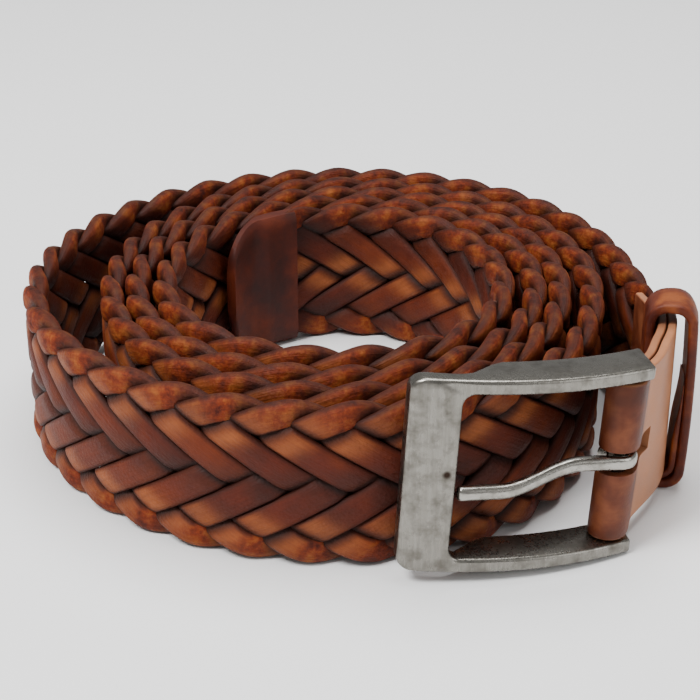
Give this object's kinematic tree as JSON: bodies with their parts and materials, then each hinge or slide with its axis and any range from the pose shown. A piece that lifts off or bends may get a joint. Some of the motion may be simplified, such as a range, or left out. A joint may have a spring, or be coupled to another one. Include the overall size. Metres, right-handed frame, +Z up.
{
  "type": "braided leather belt",
  "caption": "Braided leather dress belt rolled into a coil and stood on its edge, with a pin buckle whose frame and prong turn on a heel bar, and a sliding keeper loop.",
  "frame": {"origin": "centre of the coiled belt's outline, on the surface that it stands on", "axes": "+Z up across the strap's width; -Y towards the buckle's front face; the buckle's toe points to -X"},
  "size_m": [0.1216, 0.124, 0.037],
  "materials": {
    "braided_leather": "satin, burnished",
    "tab_leather": "satin, smooth",
    "keeper_leather": "satin, smooth",
    "plated_metal": "polished, worn brushed toe",
    "pin_steel": "polished"
  },
  "bodies": {
    "strap": {"strand_1": "braided_leather", "strand_2": "braided_leather", "strand_3": "braided_leather", "strand_4": "braided_leather", "strand_5": "braided_leather", "strand_6": "braided_leather", "strand_7": "braided_leather", "strand_8": "braided_leather", "strand_9": "braided_leather", "buckle_tab": "tab_leather", "strap_tip": "braided_leather"},
    "buckle": {"buckle_frame": "plated_metal", "heel_bar": "pin_steel"},
    "prong": {"prong": "pin_steel"},
    "keeper": {"keeper_loop": "keeper_leather"}
  },
  "joints": [
    {"name": "buckle_hinge", "type": "hinge", "parent": "strap", "child": "buckle", "pos_m": [0.04418, -0.05065, 0.01764], "axis": [0.0598, 0.0123, 0.9981], "range_deg": [-3, 80]},
    {"name": "prong_hinge", "type": "hinge", "parent": "buckle", "child": "prong", "pos_m": [0.04418, -0.05065, 0.01764], "axis": [0.0598, 0.0123, 0.9981], "range_deg": [0, 80]},
    {"name": "keeper_slide", "type": "slide", "parent": "strap", "child": "keeper", "axis": [0.27, 0.9629, 0], "range_m": [-0.0035, 0]}
  ]
}
